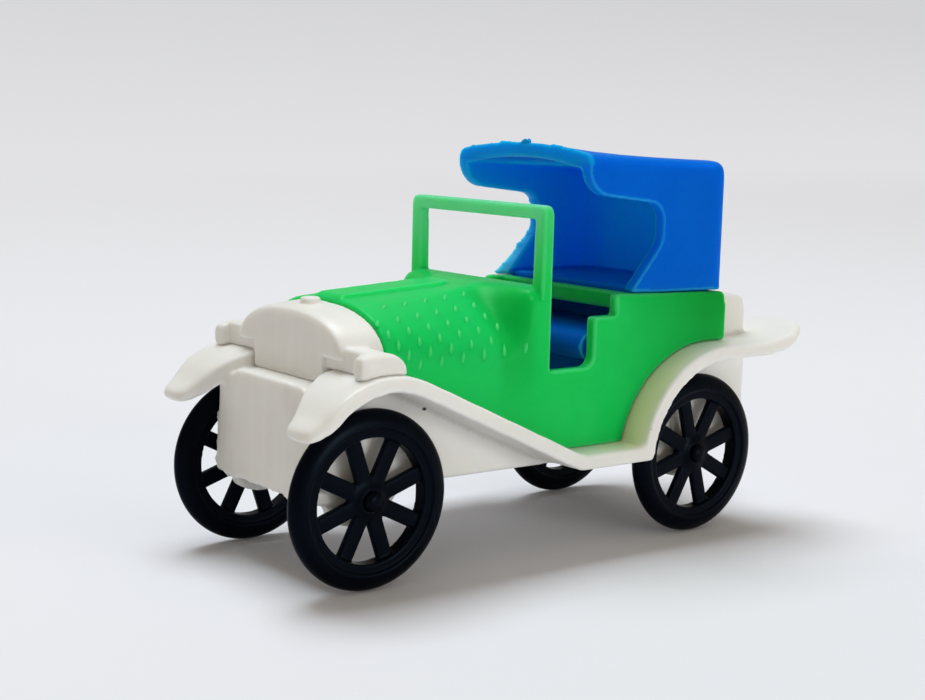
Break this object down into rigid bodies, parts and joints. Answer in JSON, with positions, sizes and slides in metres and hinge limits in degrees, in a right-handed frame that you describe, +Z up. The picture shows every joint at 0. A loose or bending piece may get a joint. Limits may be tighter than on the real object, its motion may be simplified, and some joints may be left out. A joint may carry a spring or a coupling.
{
  "type": "miniature car",
  "caption": "Miniature open tourer for pretend play: moulded chassis with fenders, radiator with lamps, bonnet and tub, canopy, bench seat and spoked wheels on turning axles.",
  "frame": {"origin": "centre of the overall box, on the ground under the wheels", "axes": "+X from the radiator to the trunk, +Y to the car's right side, +Z up"},
  "size_m": [0.0682, 0.0306, 0.0431],
  "materials": {
    "white_plastic": "warm white moulded plastic, soft gloss",
    "green_plastic": "bright green moulded plastic, soft gloss",
    "blue_plastic": "strong blue moulded plastic, soft gloss",
    "black_plastic": "black moulded plastic, soft gloss"
  },
  "bodies": {
    "car_body": {"chassis": "white_plastic", "radiator": "white_plastic", "body": "green_plastic", "canopy": "blue_plastic", "seat": "blue_plastic"},
    "front_wheelset": {"front_axle": "black_plastic", "front_left_wheel": "black_plastic", "front_right_wheel": "black_plastic"},
    "rear_wheelset": {"rear_axle": "black_plastic", "rear_left_wheel": "black_plastic", "rear_right_wheel": "black_plastic"}
  },
  "joints": [
    {"name": "front_axle_spin", "type": "hinge", "parent": "car_body", "child": "front_wheelset", "pos_m": [-0.0248, 0, 0.009], "axis": [0, 1, 0], "continuous": true},
    {"name": "rear_axle_spin", "type": "hinge", "parent": "car_body", "child": "rear_wheelset", "pos_m": [0.0191, 0, 0.009], "axis": [0, 1, 0], "continuous": true}
  ]
}
